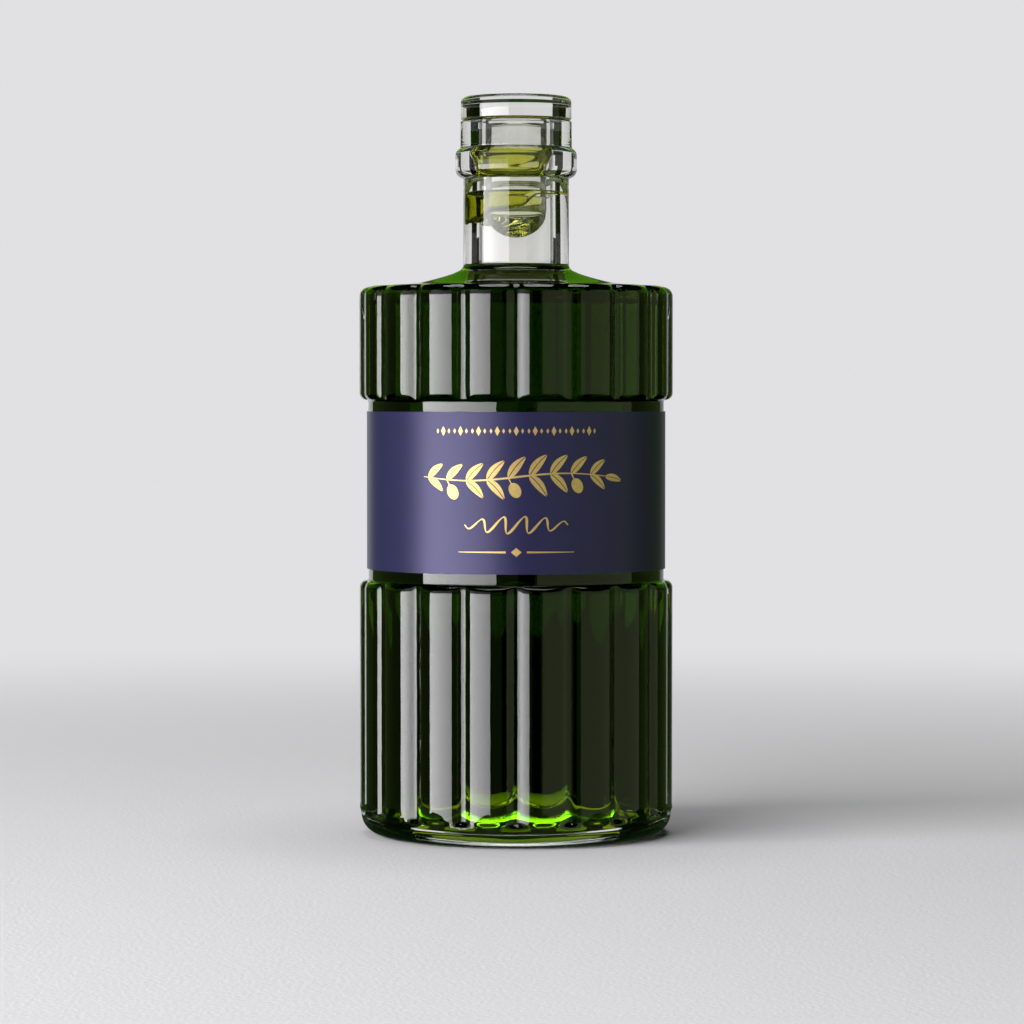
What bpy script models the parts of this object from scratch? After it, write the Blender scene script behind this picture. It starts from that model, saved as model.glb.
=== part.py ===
"""Olive oil bottle: reeded clear glass, the oil in it, a wrapped paper label and a glass stopper.

Metres, +Z up. The bottle stands on the XY plane with its axis on Z. Its front faces -Y, where a
groove between two reeds runs down the middle.
"""

from math import atan2, cos, pi, radians, sin, sqrt

import bmesh
import bpy

# Body
BODY_RADIUS = 0.0400
RECESS_RADIUS = 0.0377
CLEARANCE = 0.0003

# Reeds: rounded ribs that run up both bands of the body
REED_COUNT = 18
REED_ARC_RADIUS = 0.0133
GROOVE_FILLET = 0.0054
REED_ARC_STEPS = 4

# Heights of the two reeded bands, and the rounding of their rims
HEEL_ROUND = 0.0050
LOWER_BAND_TOP = 0.0645
UPPER_BAND_BOTTOM = 0.1105
UPPER_BAND_TOP = 0.1393
BAND_ROUND = 0.0018
SHOULDER_ROUND = 0.0026

# Shoulder, from the upper band's flat rim up to the neck
SHOULDER_RIM_RADIUS = 0.0355
SHOULDER_RISE = 0.0043
SHOULDER_EASE = 1.9
SHOULDER_SEGMENTS = 6
FOOT_FILLET = 0.0019
FOOT_HEIGHT = 0.1451
FOOT_TURN = 75

# Neck, bead and collar
NECK_RADIUS = 0.01347
BEAD_RADIUS = 0.0155
BEAD_BOTTOM = 0.1669
BEAD_TOP = 0.1748
BEAD_ROUND = 0.0023
BEAD_TURN = 65
COLLAR_RADIUS = 0.0142
LIP = 0.1815
LIP_ROUND = 0.0006

# Hollow of the glass
BORE_RADIUS = 0.0095
CAVITY_RADIUS = 0.0350
FLARE_FILLET = 0.0035
UNDER_SHOULDER = 0.1404
UNDER_SHOULDER_DROP = 0.0034
CAVITY_SHOULDER_ROUND = 0.0060
CAVITY_HEEL_ROUND = 0.0070
CEILING_TILT = 11
FLOOR_TILT = 10
FLOOR_RIM = 0.0047
FLOOR_RISE = 0.0070
PUNT_RADIUS = 0.0305
PUNT_DEPTH = 0.0045

OIL_LEVEL = 0.1440

# Label, wrapped round the recess
LABEL_GAP = 0.0002
LABEL_THICKNESS = 0.0002
LABEL_BOTTOM = 0.0676
LABEL_HEIGHT = 0.0400

# Stopper: a flat head on the lip and a round-ended plug in the bore
HEAD_RADIUS = 0.0141
HEAD_HEIGHT = 0.0058
HEAD_ROUND = 0.0016
HEAD_EDGE = 0.0006
PLUG_RADIUS = 0.0078
PLUG_END = 0.1531
PLUG_END_HEIGHT = 0.0066

# Facets
BODY_STEPS = 72
NECK_STEPS = 48
RIM_SEGMENTS = 3
MERGE = 0.00001
CUTTER_REACH = 0.0100


def clear_scene():
    for obj in list(bpy.data.objects):
        bpy.data.objects.remove(obj, do_unlink=True)


def new_collection(name):
    collection = bpy.data.collections.new(name)
    bpy.context.scene.collection.children.link(collection)
    return collection


def new_material(name, colour, roughness, transmission=0.0, ior=1.5):
    material = bpy.data.materials.new(name)
    material.use_nodes = True
    shader = material.node_tree.nodes["Principled BSDF"]
    shader.inputs["Base Color"].default_value = (*colour, 1.0)
    shader.inputs["Roughness"].default_value = roughness
    shader.inputs["Metallic"].default_value = 0.0
    shader.inputs["Transmission Weight"].default_value = transmission
    shader.inputs["IOR"].default_value = ior
    return material


def arc(radius, height, width, rise, start, stop, segments):
    """Points of an ellipse centred on (radius, height), from one angle to another in degrees."""
    angles = [radians(start + (stop - start) * i / segments) for i in range(segments + 1)]
    return [(radius + width * cos(a), height + rise * sin(a)) for a in angles]


def fillet(radius, height, rounding, start, stop, segments):
    """Points of a circular arc centred on (radius, height)."""
    return arc(radius, height, rounding, rounding, start, stop, segments)


def turned(name, profile, steps, collection):
    """A profile of (radius, height) points, top to bottom, turned about Z by a Screw modifier."""
    mesh = bpy.data.meshes.new(name)
    edges = [(i, i + 1) for i in range(len(profile) - 1)]
    mesh.from_pydata([(radius, 0.0, height) for radius, height in profile], edges, [])
    obj = bpy.data.objects.new(name, mesh)
    collection.objects.link(obj)
    screw = obj.modifiers.new("Turn", "SCREW")
    screw.axis = "Z"
    screw.angle = 2 * pi
    screw.steps = steps
    screw.render_steps = steps
    screw.use_merge_vertices = True
    screw.merge_threshold = MERGE
    screw.use_smooth_shade = True
    return obj


def make_helper(obj):
    obj.hide_render = True
    obj.display_type = "WIRE"
    return obj


def add_boolean(obj, operation, other):
    boolean = obj.modifiers.new(other.name, "BOOLEAN")
    boolean.operation = operation
    boolean.solver = "EXACT"
    boolean.object = other


def reed_outline():
    """The body's cross-section: one arc for each reed, with a rounded groove between two.

    Each groove's fillet is centred outside the glass and touches the arcs on both sides of it.
    """
    pitch = 2 * pi / REED_COUNT
    arc_centre = BODY_RADIUS - REED_ARC_RADIUS
    centre_distance = REED_ARC_RADIUS + GROOVE_FILLET
    across = arc_centre * sin(pitch / 2)
    fillet_centre = arc_centre * cos(pitch / 2) + sqrt(centre_distance ** 2 - across ** 2)
    groove_radius = fillet_centre - GROOVE_FILLET
    # Half the angle that the reed's arc spans about its own centre
    reach = atan2(fillet_centre * sin(pitch / 2), fillet_centre * cos(pitch / 2) - arc_centre)
    points = []
    for reed in range(REED_COUNT):
        turn = reed * pitch
        for i in range(REED_ARC_STEPS + 1):
            angle = turn + reach * (2 * i / REED_ARC_STEPS - 1)
            points.append((arc_centre * cos(turn) + REED_ARC_RADIUS * cos(angle),
                           arc_centre * sin(turn) + REED_ARC_RADIUS * sin(angle)))
        groove = turn + pitch / 2
        points.append((groove_radius * cos(groove), groove_radius * sin(groove)))
    return points


def reeded_band(name, bottom, top, bottom_round, top_round, collection):
    """The reeded outline pulled up from bottom to top, with both rims rounded by a Bevel."""
    mesh = bpy.data.meshes.new(name)
    bm = bmesh.new()
    weight = bm.edges.layers.float.new("bevel_weight_edge")
    lower_face = bm.faces.new([bm.verts.new((x, y, bottom)) for x, y in reed_outline()])
    lower_face.normal_flip()
    pulled = bmesh.ops.extrude_face_region(bm, geom=[lower_face], use_keep_orig=True)
    for vert in (item for item in pulled["geom"] if isinstance(item, bmesh.types.BMVert)):
        vert.co.z = top
    bmesh.ops.recalc_face_normals(bm, faces=bm.faces)
    widest = max(bottom_round, top_round)
    for edge in bm.edges:
        heights = {round(vert.co.z, 6) for vert in edge.verts}
        if heights == {round(bottom, 6)}:
            edge[weight] = bottom_round / widest
        elif heights == {round(top, 6)}:
            edge[weight] = top_round / widest
    bm.to_mesh(mesh)
    bm.free()
    obj = bpy.data.objects.new(name, mesh)
    collection.objects.link(obj)
    bevel = obj.modifiers.new("Round rims", "BEVEL")
    bevel.limit_method = "WEIGHT"
    bevel.offset_type = "OFFSET"
    bevel.width = widest
    bevel.segments = RIM_SEGMENTS
    bevel.use_clamp_overlap = False
    return obj


def glass_profile():
    """The turned outside of the glass, from the lip down to a core inside the lower band."""
    shoulder_span = SHOULDER_RIM_RADIUS - NECK_RADIUS
    foot_centre = NECK_RADIUS + FOOT_FILLET
    foot = fillet(foot_centre, FOOT_HEIGHT, FOOT_FILLET, 180, 180 + FOOT_TURN, 4)
    foot_radius = foot[-1][0]
    bead_centre = BEAD_RADIUS - BEAD_ROUND
    core_top = UPPER_BAND_TOP - 2 * SHOULDER_ROUND
    core_bottom = LOWER_BAND_TOP - 2 * HEEL_ROUND
    points = [(0.0, LIP)]
    points += fillet(COLLAR_RADIUS - LIP_ROUND, LIP - LIP_ROUND, LIP_ROUND, 90, 0, 2)
    points.append((COLLAR_RADIUS, BEAD_TOP))
    points += fillet(bead_centre, BEAD_TOP - BEAD_ROUND, BEAD_ROUND, BEAD_TURN, 0, 3)
    points += fillet(bead_centre, BEAD_BOTTOM + BEAD_ROUND, BEAD_ROUND, 0, -BEAD_TURN, 3)
    points.append((NECK_RADIUS, BEAD_BOTTOM))
    points += foot
    for i in range(1, SHOULDER_SEGMENTS + 1):
        radius = foot_radius + (SHOULDER_RIM_RADIUS - foot_radius) * i / SHOULDER_SEGMENTS
        share = (SHOULDER_RIM_RADIUS - radius) / shoulder_span
        points.append((radius, UPPER_BAND_TOP + SHOULDER_RISE * share ** SHOULDER_EASE))
    points.append((RECESS_RADIUS, core_top))
    points.append((RECESS_RADIUS, core_bottom))
    points.append((0.0, core_bottom))
    return points


def hollow_profile(inset=0.0, top=LIP + CUTTER_REACH):
    """The inside of the glass, or a shape that stays an inset away from it, below a given top."""
    bore = BORE_RADIUS - inset
    wall = CAVITY_RADIUS - inset
    ceiling = UNDER_SHOULDER - inset
    flare = FLARE_FILLET + inset
    flare_top = ceiling + flare
    round_centre = CAVITY_RADIUS - CAVITY_SHOULDER_ROUND
    rounding = CAVITY_SHOULDER_ROUND - inset
    shoulder_rim = UNDER_SHOULDER - UNDER_SHOULDER_DROP - CAVITY_SHOULDER_ROUND
    heel_centre = CAVITY_RADIUS - CAVITY_HEEL_ROUND
    heel_round = CAVITY_HEEL_ROUND - inset
    floor = FLOOR_RIM + inset
    points = [(0.0, top)]
    if top > flare_top:
        points.append((bore, top))
    for radius, height in fillet(bore + flare, flare_top, flare, 180, 270 - CEILING_TILT, 6):
        if height < top - MERGE:
            points.append((radius, height))
    points += fillet(round_centre, shoulder_rim, rounding, 90 - CEILING_TILT, 0, 4)
    points += fillet(heel_centre, FLOOR_RIM + CAVITY_HEEL_ROUND, heel_round, 0, FLOOR_TILT - 90, 4)
    for share in (1 / 2, 0):
        points.append((heel_centre * share, floor + FLOOR_RISE * (1 - share ** 2)))
    return points


def punt_profile():
    """The hollow under the base: a shallow dome that leaves a ring to stand on."""
    dome = arc(0.0, 0.0, PUNT_RADIUS, PUNT_DEPTH, 90, 0, 6)
    return dome + [(PUNT_RADIUS, -CUTTER_REACH), (0.0, -CUTTER_REACH)]


def stopper_profile():
    top = LIP + CLEARANCE + HEAD_HEIGHT
    head_bottom = LIP + CLEARANCE
    points = [(0.0, top)]
    points += fillet(HEAD_RADIUS - HEAD_ROUND, top - HEAD_ROUND, HEAD_ROUND, 90, 0, 4)
    points += fillet(HEAD_RADIUS - HEAD_EDGE, head_bottom + HEAD_EDGE, HEAD_EDGE, 0, -90, 2)
    points.append((PLUG_RADIUS, head_bottom))
    points += arc(0.0, PLUG_END + PLUG_END_HEIGHT, PLUG_RADIUS, PLUG_END_HEIGHT, 0, -90, 6)
    return points


def label_profile():
    inner = RECESS_RADIUS + LABEL_GAP
    outer = inner + LABEL_THICKNESS
    top = LABEL_BOTTOM + LABEL_HEIGHT
    corners = [(inner, top), (outer, top), (outer, LABEL_BOTTOM), (inner, LABEL_BOTTOM)]
    return corners + corners[:1]


def build_bottle(parts, cutters):
    bottle = turned("glass_bottle", glass_profile(), BODY_STEPS, parts)
    lower = reeded_band("lower_band", 0.0, LOWER_BAND_TOP, HEEL_ROUND, BAND_ROUND, cutters)
    upper = reeded_band("upper_band", UPPER_BAND_BOTTOM, UPPER_BAND_TOP, BAND_ROUND,
                        SHOULDER_ROUND, cutters)
    hollow = turned("hollow", hollow_profile(), NECK_STEPS, cutters)
    punt = turned("punt", punt_profile(), NECK_STEPS, cutters)
    for band in (lower, upper):
        add_boolean(bottle, "UNION", make_helper(band))
    for cutter in (hollow, punt):
        add_boolean(bottle, "DIFFERENCE", make_helper(cutter))
    return bottle


def main():
    clear_scene()
    parts = new_collection("olive_oil_bottle")
    cutters = new_collection("shapes_that_cut_or_join")
    glass = new_material("Clear flint glass", (0.95, 0.97, 0.95), 0.02, 1.0, 1.52)
    oil = new_material("Early-harvest olive oil", (0.05, 0.12, 0.01), 0.02, 0.9, 1.47)
    paper = new_material("Indigo label paper", (0.075, 0.065, 0.17), 0.5)

    bottle = build_bottle(parts, cutters)
    contents = turned("olive_oil", hollow_profile(CLEARANCE, OIL_LEVEL), NECK_STEPS, parts)
    stopper = turned("stopper", stopper_profile(), NECK_STEPS, parts)
    label = turned("label", label_profile(), BODY_STEPS, parts)
    finishes = ((bottle, glass), (contents, oil), (stopper, glass), (label, paper))
    for obj, material in finishes:
        obj.data.materials.append(material)


main()
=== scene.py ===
"""Olive oil bottle: smooth reeded glass, the oil, its stopper and a foil-printed paper label.

Metres, +Z up, front towards -Y. The lights are cards that stand round the bottle, as in a small product studio.
"""

import logging
from dataclasses import dataclass, field
from enum import Enum
from math import atan2, cos, degrees, hypot, pi, radians, sin, sqrt
from typing import NamedTuple

import bmesh
import bpy
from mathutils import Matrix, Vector


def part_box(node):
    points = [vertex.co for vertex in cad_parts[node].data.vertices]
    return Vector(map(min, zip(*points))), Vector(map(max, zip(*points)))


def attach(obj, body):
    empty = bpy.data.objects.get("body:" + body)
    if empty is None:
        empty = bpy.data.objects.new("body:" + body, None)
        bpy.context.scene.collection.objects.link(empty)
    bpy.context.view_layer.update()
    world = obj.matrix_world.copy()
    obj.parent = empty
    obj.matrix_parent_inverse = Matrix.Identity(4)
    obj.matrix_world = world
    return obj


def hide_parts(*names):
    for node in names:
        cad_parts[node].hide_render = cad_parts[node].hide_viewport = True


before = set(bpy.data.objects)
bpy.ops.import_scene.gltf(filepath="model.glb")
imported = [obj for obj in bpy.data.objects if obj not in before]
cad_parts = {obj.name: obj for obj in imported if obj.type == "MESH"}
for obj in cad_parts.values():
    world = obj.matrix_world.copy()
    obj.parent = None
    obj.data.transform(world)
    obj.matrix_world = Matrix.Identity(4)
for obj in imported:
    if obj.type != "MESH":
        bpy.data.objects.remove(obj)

log = logging.getLogger("olive_oil_bottle")
Socket = bpy.types.NodeSocket
MERGE_DISTANCE = 0.000002


# Shared helpers


def srgb(code: str) -> tuple[float, float, float, float]:
    """Turns an sRGB hex value into a linear colour.

    Args:
        code: Six hex digits, such as "3A5F0B".

    Returns:
        Red, green and blue in linear light, and an alpha of 1.
    """
    channels = [int(code[i:i + 2], 16) / 255 for i in (0, 2, 4)]
    linear = [c / 12.92 if c <= 0.04045 else ((c + 0.055) / 1.055) ** 2.4 for c in channels]
    return (*linear, 1.0)


def add_node(tree: bpy.types.NodeTree, kind: str, inputs: dict | None = None, **settings) -> bpy.types.Node:
    """Adds a node with its settings, values and links.

    Args:
        tree: The node tree that gets the node.
        kind: Blender's name of the node type.
        inputs: For each input, by its name or number, a socket to link or a value to set.
        **settings: The node's own properties, such as operation.

    Returns:
        The new node.
    """
    node = tree.nodes.new(kind)
    for name, value in settings.items():
        setattr(node, name, value)
    for key, value in (inputs or {}).items():
        if isinstance(value, Socket):
            tree.links.new(value, node.inputs[key])
        else:
            node.inputs[key].default_value = value
    return node


def link_object(name: str, mesh: bpy.types.Mesh) -> bpy.types.Object:
    """Puts a mesh into the scene.

    Args:
        name: The object's name.
        mesh: Its mesh.

    Returns:
        The object, at the origin.
    """
    obj = bpy.data.objects.new(name, mesh)
    bpy.context.scene.collection.objects.link(obj)
    return obj


def face_outwards(mesh: bpy.types.Mesh) -> None:
    """Turns every face of a closed mesh outwards, after its doubles are merged.

    Args:
        mesh: The mesh, which is changed.
    """
    bm = bmesh.new()
    bm.from_mesh(mesh)
    bmesh.ops.remove_doubles(bm, verts=bm.verts, dist=MERGE_DISTANCE)
    bmesh.ops.recalc_face_normals(bm, faces=bm.faces)
    bm.to_mesh(mesh)
    bm.free()


def blank_material(name: str) -> bpy.types.Material:
    """Makes a material with an empty node tree.

    Args:
        name: Its name.

    Returns:
        The material.
    """
    material = bpy.data.materials.new(name)
    material.use_nodes = True
    material.node_tree.nodes.clear()
    return material


def run_tree(tree: bpy.types.NodeTree, source: bpy.types.Object, given: dict) -> bpy.types.Mesh:
    """Runs a node tree on an object and turns the result into a plain mesh.

    Args:
        tree: The geometry node tree.
        source: The object that it starts from, which is removed.
        given: The tree's inputs by their sockets' identifiers.

    Returns:
        The finished mesh.
    """
    modifier = source.modifiers.new("Rule", "NODES")
    modifier.node_group = tree
    for identifier, value in given.items():
        modifier[identifier] = value
    graph = bpy.context.evaluated_depsgraph_get()
    mesh = bpy.data.meshes.new_from_object(source.evaluated_get(graph))
    bpy.data.objects.remove(source)
    return mesh


def loft(name: str, sections: list[list[tuple[float, float, float]]], ring: bool = False) -> bpy.types.Mesh:
    """Joins closed sections, each with the same number of points, into one closed mesh.

    Args:
        name: The mesh's name.
        sections: The points of each section, in order round it.
        ring: True where the last section joins the first. Otherwise both ends are capped.

    Returns:
        The mesh, with its faces outwards.
    """
    size = len(sections[0])
    faces = []
    for i in range(len(sections) if ring else len(sections) - 1):
        here, there = i * size, (i + 1) % len(sections) * size
        faces += [(here + j, here + (j + 1) % size, there + (j + 1) % size, there + j) for j in range(size)]
    if not ring:
        faces += [tuple(range(size)), tuple(range(len(sections) * size - size, len(sections) * size))]
    mesh = bpy.data.meshes.new(name)
    mesh.from_pydata([point for section in sections for point in section], [], faces)
    face_outwards(mesh)
    return mesh


class Place(NamedTuple):
    """Where one copy of a printed motif goes on the flat label."""

    along: float
    height: float
    turn: float = 0.0
    size: float = 1.0


class ProfilePoint(NamedTuple):
    """One ring of a turned shape."""

    radius: float
    height: float
    reed: float = 0.0  # how much of the reeds' depth the ring takes, from 0 to 1
    mark: float = 0.0  # 1 where the surface meets the oil, or where oil meets air


Profile = list[ProfilePoint]


def bend(centre: tuple[float, float], rounding: tuple[float, float], start: float, stop: float, segments: int,
         reeds: tuple[float, float] = (0.0, 0.0), mark: float = 0.0) -> Profile:
    """Rings along part of an ellipse.

    Args:
        centre: Radius and height of the ellipse's centre.
        rounding: Its half width and half height.
        start: First angle in degrees, from outwards to up.
        stop: Last angle in degrees.
        segments: Number of steps.
        reeds: Share of the reeds' depth at the first and the last ring.
        mark: The mark on every ring.

    Returns:
        The rings, first to last.
    """
    rings = []
    for i in range(segments + 1):
        share = i / segments
        angle = radians(start + (stop - start) * share)
        reed = reeds[0] + (reeds[1] - reeds[0]) * share
        radius, height = centre[0] + rounding[0] * cos(angle), centre[1] + rounding[1] * sin(angle)
        rings.append(ProfilePoint(radius, height, reed, mark))
    return rings


# Sizes, from the frame where the CAD part has them


class ReedArc(NamedTuple):
    """One arc of a reed's outline, with its centre given as distance and angle about the bottle's axis."""

    radius: float
    distance: float
    angle: float
    start: float  # angle from the crown where the arc begins
    bulge: float  # 1 for an arc that bulges outwards, -1 for the groove's


@dataclass(frozen=True)
class ReedRule:
    """The reeds: a broad arc over each crown, a tight arc down each flank and a rounded groove between two."""

    crown_radius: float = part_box("glass_bottle")[1].x
    count: int = 18
    crown_arc: float = 0.0120
    crown_swing: float = radians(20.0)
    flank_arc: float = 0.0040
    flank_swing: float = radians(44.0)
    steps: int = 28
    groove_detail: float = 0.6

    def arcs(self) -> list[ReedArc]:
        """The arcs of half a reed, from its crown to the groove.

        Returns:
            Three arcs, each tangent to the next.
        """
        half = pi / self.count
        crown = Vector((self.crown_radius - self.crown_arc, 0.0))
        lean = Vector((cos(self.crown_swing), sin(self.crown_swing)))
        flank = crown + lean * (self.crown_arc - self.flank_arc)
        turn = crown + lean * self.crown_arc
        steep = Vector((cos(self.flank_swing), sin(self.flank_swing)))
        end = flank + steep * self.flank_arc
        fillet = (end.x * sin(half) - end.y * cos(half)) / (steep.y * cos(half) - steep.x * sin(half))
        groove = end + steep * fillet
        return [ReedArc(self.crown_arc, crown.length, 0.0, 0.0, 1.0),
                ReedArc(self.flank_arc, flank.length, atan2(flank.y, flank.x), atan2(turn.y, turn.x), 1.0),
                ReedArc(fillet, groove.length, half, atan2(end.y, end.x), -1.0)]

    def outline(self) -> list[tuple[float, float]]:
        """One reed's outline.

        Returns:
            For each step its angle from the crown and how far it lies outside the crown's radius, so
            below zero. The steps are closer together towards the groove.
        """
        pitch = 2 * pi / self.count
        points = []
        for i in range(self.steps):
            along = i / self.steps
            angle = pitch * (along + self.groove_detail / (2 * pi) * sin(2 * pi * along))
            away = min(angle, pitch - angle)
            arc = [arc for arc in self.arcs() if arc.start <= away][-1]
            across = arc.distance * sin(away - arc.angle)
            radius = arc.distance * cos(away - arc.angle) + arc.bulge * sqrt(arc.radius ** 2 - across ** 2)
            points.append((angle, radius - self.crown_radius))
        return points


@dataclass(frozen=True)
class PlainRound(ReedRule):
    """A rule without reeds, for the round pieces."""

    steps: int = 10

    def outline(self) -> list[tuple[float, float]]:
        """Even steps at full radius."""
        return [(2 * pi / self.count * i / self.steps, 0.0) for i in range(self.steps)]


@dataclass(frozen=True)
class BottleSizes:
    """Radii and heights of the bottle, named from the base up."""

    body_radius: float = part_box("glass_bottle")[1].x
    recess_radius: float = 0.0377
    heel_radius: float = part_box("glass_bottle")[1].y - 0.00001
    heel_round: float = 0.0050
    reed_fade: float = 0.0016
    lower_band_top: float = 0.0645
    upper_band_bottom: float = 0.1105
    upper_band_top: float = 0.1393
    band_round: float = 0.0018
    recess_fillet: float = 0.0005
    shoulder_round: float = 0.0026
    shoulder_rim: float = 0.0355
    shoulder_rise: float = 0.0043
    shoulder_ease: float = 1.9
    foot_fillet: float = 0.0019
    foot_height: float = 0.1451
    foot_turn: float = 75.0
    neck_radius: float = 0.01347
    bead_radius: float = 0.0155
    bead_bottom: float = 0.1669
    bead_top: float = 0.1748
    bead_round: float = 0.0023
    bead_turn: float = 65.0
    collar_radius: float = 0.0142
    lip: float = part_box("glass_bottle")[1].z
    lip_round: float = 0.0006
    bore_radius: float = 0.0095
    cavity_radius: float = 0.0350
    flare_fillet: float = 0.0035
    ceiling: float = 0.1404
    ceiling_drop: float = 0.0034
    ceiling_tilt: float = 11.0
    cavity_shoulder: float = 0.0060
    cavity_heel: float = 0.0070
    floor_tilt: float = 10.0
    floor_rim: float = 0.0047
    floor_rise: float = 0.0070
    punt_radius: float = 0.0305
    punt_depth: float = 0.0045
    oil_level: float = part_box("olive_oil")[1].z
    meniscus: float = 0.0009
    wall_overlap: float = 0.00015


# Turning and wrapping by Geometry Nodes


class RuleTree:
    """A geometry node tree with named inputs, which works on a set of points."""

    name: str
    source: str
    kinds: dict[str, str]

    def __init__(self) -> None:
        self.tree = bpy.data.node_groups.new(self.name, "GeometryNodeTree")
        face = self.tree.interface
        face.new_socket(name=self.source, in_out="INPUT", socket_type="NodeSocketGeometry")
        self.inputs = {}
        for name, kind in self.kinds.items():
            socket = face.new_socket(name=name, in_out="INPUT", socket_type="NodeSocket" + kind)
            self.inputs[name] = socket.identifier
        face.new_socket(name="Result", in_out="OUTPUT", socket_type="NodeSocketGeometry")
        self._build()

    def _build(self) -> None:
        """Adds the nodes that follow the rule."""
        raise NotImplementedError

    def run(self, name: str, points: list[tuple[float, float, float]], told: dict[str, list[float]],
            given: dict) -> bpy.types.Mesh:
        """Runs the tree on points.

        Args:
            name: The name of the source.
            points: Its points.
            told: The points' own numbers, by attribute.
            given: The tree's inputs by name.

        Returns:
            The finished mesh.
        """
        mesh = bpy.data.meshes.new(name)
        mesh.from_pydata(points, [], [])
        for key, values in told.items():
            mesh.attributes.new(key, "FLOAT", "POINT").data.foreach_set("value", values)
        return run_tree(self.tree, link_object(name, mesh), {self.inputs[key]: given[key] for key in given})


class TurningTree(RuleTree):
    """The node tree that turns a profile about the bottle's axis and repeats one reed's outline round it."""

    name = "Turned_and_reeded"
    source = "Profile"
    kinds = {"Reed Outline": "Object", "Steps per Reed": "Int", "Reed Count": "Int", "Finish": "Material"}

    def _build(self) -> None:
        """Lays out a grid of rings and steps, and moves each point to its place."""
        tree = self.tree
        whole_number, number = "FunctionNodeIntegerMath", "ShaderNodeMath"
        given = add_node(tree, "NodeGroupInput").outputs
        per_reed = given["Steps per Reed"]

        # Which ring, which reed and which step of the reed a point belongs to
        rings = add_node(tree, "GeometryNodeAttributeDomainSize",
                         {"Geometry": given["Profile"]}).outputs["Point Count"]
        steps = add_node(tree, whole_number,
                         {0: per_reed, 1: given["Reed Count"]}, operation="MULTIPLY").outputs[0]
        columns = add_node(tree, whole_number, {0: steps, 1: 1}, operation="ADD").outputs[0]
        grid = add_node(tree, "GeometryNodeMeshGrid", {"Vertices X": rings, "Vertices Y": columns})
        index = add_node(tree, "GeometryNodeInputIndex").outputs[0]
        ring = add_node(tree, whole_number, {0: index, 1: columns}, operation="DIVIDE").outputs[0]
        column = add_node(tree, whole_number, {0: index, 1: columns}, operation="MODULO").outputs[0]
        reed = add_node(tree, whole_number, {0: column, 1: per_reed}, operation="DIVIDE").outputs[0]
        step = add_node(tree, whole_number, {0: column, 1: per_reed}, operation="MODULO").outputs[0]

        # The step's angle and depth, read from the outline
        outline = add_node(tree, "GeometryNodeObjectInfo",
                           {"Object": given["Reed Outline"]}).outputs["Geometry"]
        place = add_node(tree, "GeometryNodeInputPosition").outputs[0]
        step_place = add_node(tree, "GeometryNodeSampleIndex",
                              {"Geometry": outline, "Value": place, "Index": step},
                              data_type="FLOAT_VECTOR").outputs["Value"]
        of_step = add_node(tree, "ShaderNodeSeparateXYZ", {0: step_place}).outputs
        pitch = add_node(tree, number, {0: 2 * pi, 1: given["Reed Count"]}, operation="DIVIDE").outputs[0]
        angle = add_node(tree, number,
                         {0: reed, 1: pitch, 2: of_step["X"]}, operation="MULTIPLY_ADD").outputs[0]

        # The ring's own numbers, read from the profile
        ring_place = add_node(tree, "GeometryNodeSampleIndex",
                              {"Geometry": given["Profile"], "Value": place, "Index": ring},
                              data_type="FLOAT_VECTOR").outputs["Value"]
        of_ring = add_node(tree, "ShaderNodeSeparateXYZ", {0: ring_place}).outputs
        told = {}
        for name in ("reed", "mark"):
            attribute = add_node(tree, "GeometryNodeInputNamedAttribute",
                                 {"Name": name}, data_type="FLOAT").outputs[0]
            told[name] = add_node(tree, "GeometryNodeSampleIndex",
                                  {"Geometry": given["Profile"], "Value": attribute, "Index": ring},
                                  data_type="FLOAT").outputs["Value"]
        radius = add_node(tree, number,
                          {0: of_step["Y"], 1: told["reed"], 2: of_ring["X"]}, operation="MULTIPLY_ADD")
        flat = add_node(tree, "ShaderNodeCombineXYZ", {0: radius.outputs[0], 2: of_ring["Z"]}).outputs[0]
        point = add_node(tree, "ShaderNodeVectorRotate",
                         {"Vector": flat, "Angle": angle}, rotation_type="Z_AXIS")

        marked = add_node(tree, "GeometryNodeStoreNamedAttribute",
                          {"Geometry": grid.outputs["Mesh"], "Name": "mark", "Value": told["mark"]},
                          data_type="FLOAT", domain="POINT")
        moved = add_node(tree, "GeometryNodeSetPosition",
                         {"Geometry": marked.outputs[0], "Position": point.outputs[0]})
        merged = add_node(tree, "GeometryNodeMergeByDistance",
                          {"Geometry": moved.outputs[0], "Distance": MERGE_DISTANCE})
        smooth = add_node(tree, "GeometryNodeSetShadeSmooth", {"Geometry": merged.outputs[0]})
        whole = add_node(tree, "GeometryNodeRealizeInstances", {"Geometry": smooth.outputs[0]})
        finished = add_node(tree, "GeometryNodeSetMaterial",
                            {"Geometry": whole.outputs[0], "Material": given["Finish"]})
        add_node(tree, "NodeGroupOutput", {0: finished.outputs[0]})

    def turn(self, name: str, profile: Profile, finish: bpy.types.Material,
             reeds: ReedRule) -> bpy.types.Object:
        """Turns one piece.

        Args:
            name: The piece's name.
            profile: Its rings, in order along the surface.
            finish: Its material.
            reeds: The reeds' rule, which also gives the number of steps.

        Returns:
            The piece, as a plain closed mesh at the origin.
        """
        steps = bpy.data.meshes.new(name + "_outline")
        steps.from_pydata([(angle, depth, 0.0) for angle, depth in reeds.outline()], [], [])
        outline = link_object(steps.name, steps)
        points = [(ring.radius, 0.0, ring.height) for ring in profile]
        told = {key: [getattr(ring, key) for ring in profile] for key in ("reed", "mark")}
        mesh = self.run(name + "_source", points, told, {"Reed Outline": outline, "Steps per Reed": reeds.steps,
                                                         "Reed Count": reeds.count, "Finish": finish})
        bpy.data.objects.remove(outline)
        mesh.name = name
        face_outwards(mesh)
        return link_object(name, mesh)


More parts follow.
